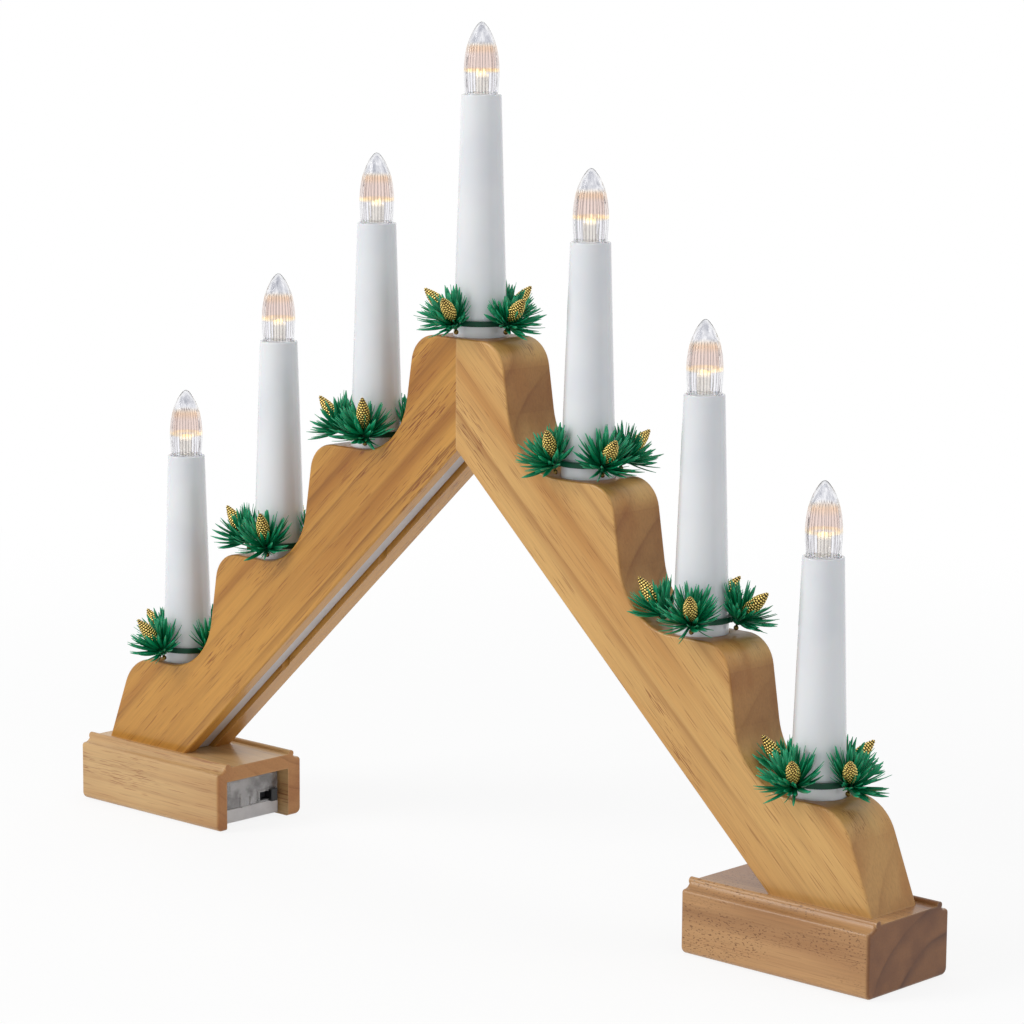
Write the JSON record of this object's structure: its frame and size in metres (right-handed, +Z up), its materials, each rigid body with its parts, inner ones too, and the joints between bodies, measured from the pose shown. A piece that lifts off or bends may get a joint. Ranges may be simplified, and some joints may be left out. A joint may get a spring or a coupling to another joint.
{
  "type": "candle arch",
  "caption": "Stepped wooden candle arch on two moulded bases, with upright electric candles, green sprig garlands and a battery box in one base.",
  "frame": {"origin": "middle of the footprint, on the surface that both bases stand on", "axes": "+X along the arch towards the solid base, +Y to the back, +Z up"},
  "size_m": [0.4, 0.0522, 0.3178],
  "materials": {
    "leg_wood": "lacquered pine, golden",
    "base_wood": "lacquered pine, paler",
    "cover_strip": "satin white strip",
    "sleeve_white": "gloss white moulding",
    "lens_clear": "clear fluted plastic",
    "lamp": "warm white lamp",
    "garland_green": "satin green moulding",
    "gilt": "gilt plastic",
    "plug_white": "matt white",
    "lead_white": "white insulation",
    "box_clear": "clear moulding",
    "box_frosted": "frosted moulding",
    "cell_jacket": "plain dark jacket",
    "contact_steel": "nickel plated",
    "switch_black": "black moulding",
    "tape_foam": "foam",
    "dowel_wood": "raw beech",
    "screw_steel": "zinc plated"
  },
  "bodies": {
    "frame": {"left_leg": "leg_wood", "right_leg": "leg_wood", "left_base": "base_wood", "right_base": "base_wood", "left_groove_cover": "cover_strip", "right_groove_cover": "cover_strip", "candle_sleeve_1": "sleeve_white", "flame_lens_1": "lens_clear", "led_1": "lamp", "candle_sleeve_2": "sleeve_white", "flame_lens_2": "lens_clear", "led_2": "lamp", "candle_sleeve_3": "sleeve_white", "flame_lens_3": "lens_clear", "led_3": "lamp", "candle_sleeve_4": "sleeve_white", "flame_lens_4": "lens_clear", "led_4": "lamp", "candle_sleeve_5": "sleeve_white", "flame_lens_5": "lens_clear", "led_5": "lamp", "candle_sleeve_6": "sleeve_white", "flame_lens_6": "lens_clear", "led_6": "lamp", "candle_sleeve_7": "sleeve_white", "flame_lens_7": "lens_clear", "led_7": "lamp", "candle_plugs": "plug_white", "led_leads": "lead_white", "main_lead": "lead_white", "battery_box_shell": "box_clear", "batteries": "cell_jacket", "battery_contacts": "contact_steel", "switch_body": "switch_black", "foam_tape": "tape_foam", "mitre_dowels": "dowel_wood", "base_screws": "screw_steel"},
    "battery_lid": {"battery_box_lid": "box_frosted"},
    "switch": {"switch_slider": "switch_black"},
    "garland_1": {"garland_ring_1": "garland_green", "needle_sprigs_1": "garland_green", "pine_cones_1": "gilt"},
    "garland_2": {"garland_ring_2": "garland_green", "needle_sprigs_2": "garland_green", "pine_cones_2": "gilt"},
    "garland_3": {"garland_ring_3": "garland_green", "needle_sprigs_3": "garland_green", "pine_cones_3": "gilt"},
    "garland_4": {"garland_ring_4": "garland_green", "needle_sprigs_4": "garland_green", "pine_cones_4": "gilt"},
    "garland_5": {"garland_ring_5": "garland_green", "needle_sprigs_5": "garland_green", "pine_cones_5": "gilt"},
    "garland_6": {"garland_ring_6": "garland_green", "needle_sprigs_6": "garland_green", "pine_cones_6": "gilt"},
    "garland_7": {"garland_ring_7": "garland_green", "needle_sprigs_7": "garland_green", "pine_cones_7": "gilt"}
  },
  "joints": [
    {"name": "garland_1_lift", "type": "slide", "parent": "frame", "child": "garland_1", "axis": [0, 0, 1], "range_m": [0, 0.115]},
    {"name": "garland_2_lift", "type": "slide", "parent": "frame", "child": "garland_2", "axis": [0, 0, 1], "range_m": [0, 0.115]},
    {"name": "garland_3_lift", "type": "slide", "parent": "frame", "child": "garland_3", "axis": [0, 0, 1], "range_m": [0, 0.115]},
    {"name": "garland_4_lift", "type": "slide", "parent": "frame", "child": "garland_4", "axis": [0, 0, 1], "range_m": [0, 0.115]},
    {"name": "garland_5_lift", "type": "slide", "parent": "frame", "child": "garland_5", "axis": [0, 0, 1], "range_m": [0, 0.115]},
    {"name": "garland_6_lift", "type": "slide", "parent": "frame", "child": "garland_6", "axis": [0, 0, 1], "range_m": [0, 0.115]},
    {"name": "garland_7_lift", "type": "slide", "parent": "frame", "child": "garland_7", "axis": [0, 0, 1], "range_m": [0, 0.115]},
    {"name": "battery_lid_slide", "type": "slide", "parent": "frame", "child": "battery_lid", "axis": [1, 0, 0], "range_m": [0, 0.072]},
    {"name": "switch_slide", "type": "slide", "parent": "frame", "child": "switch", "axis": [0, -1, 0], "range_m": [0, 0.004]}
  ]
}
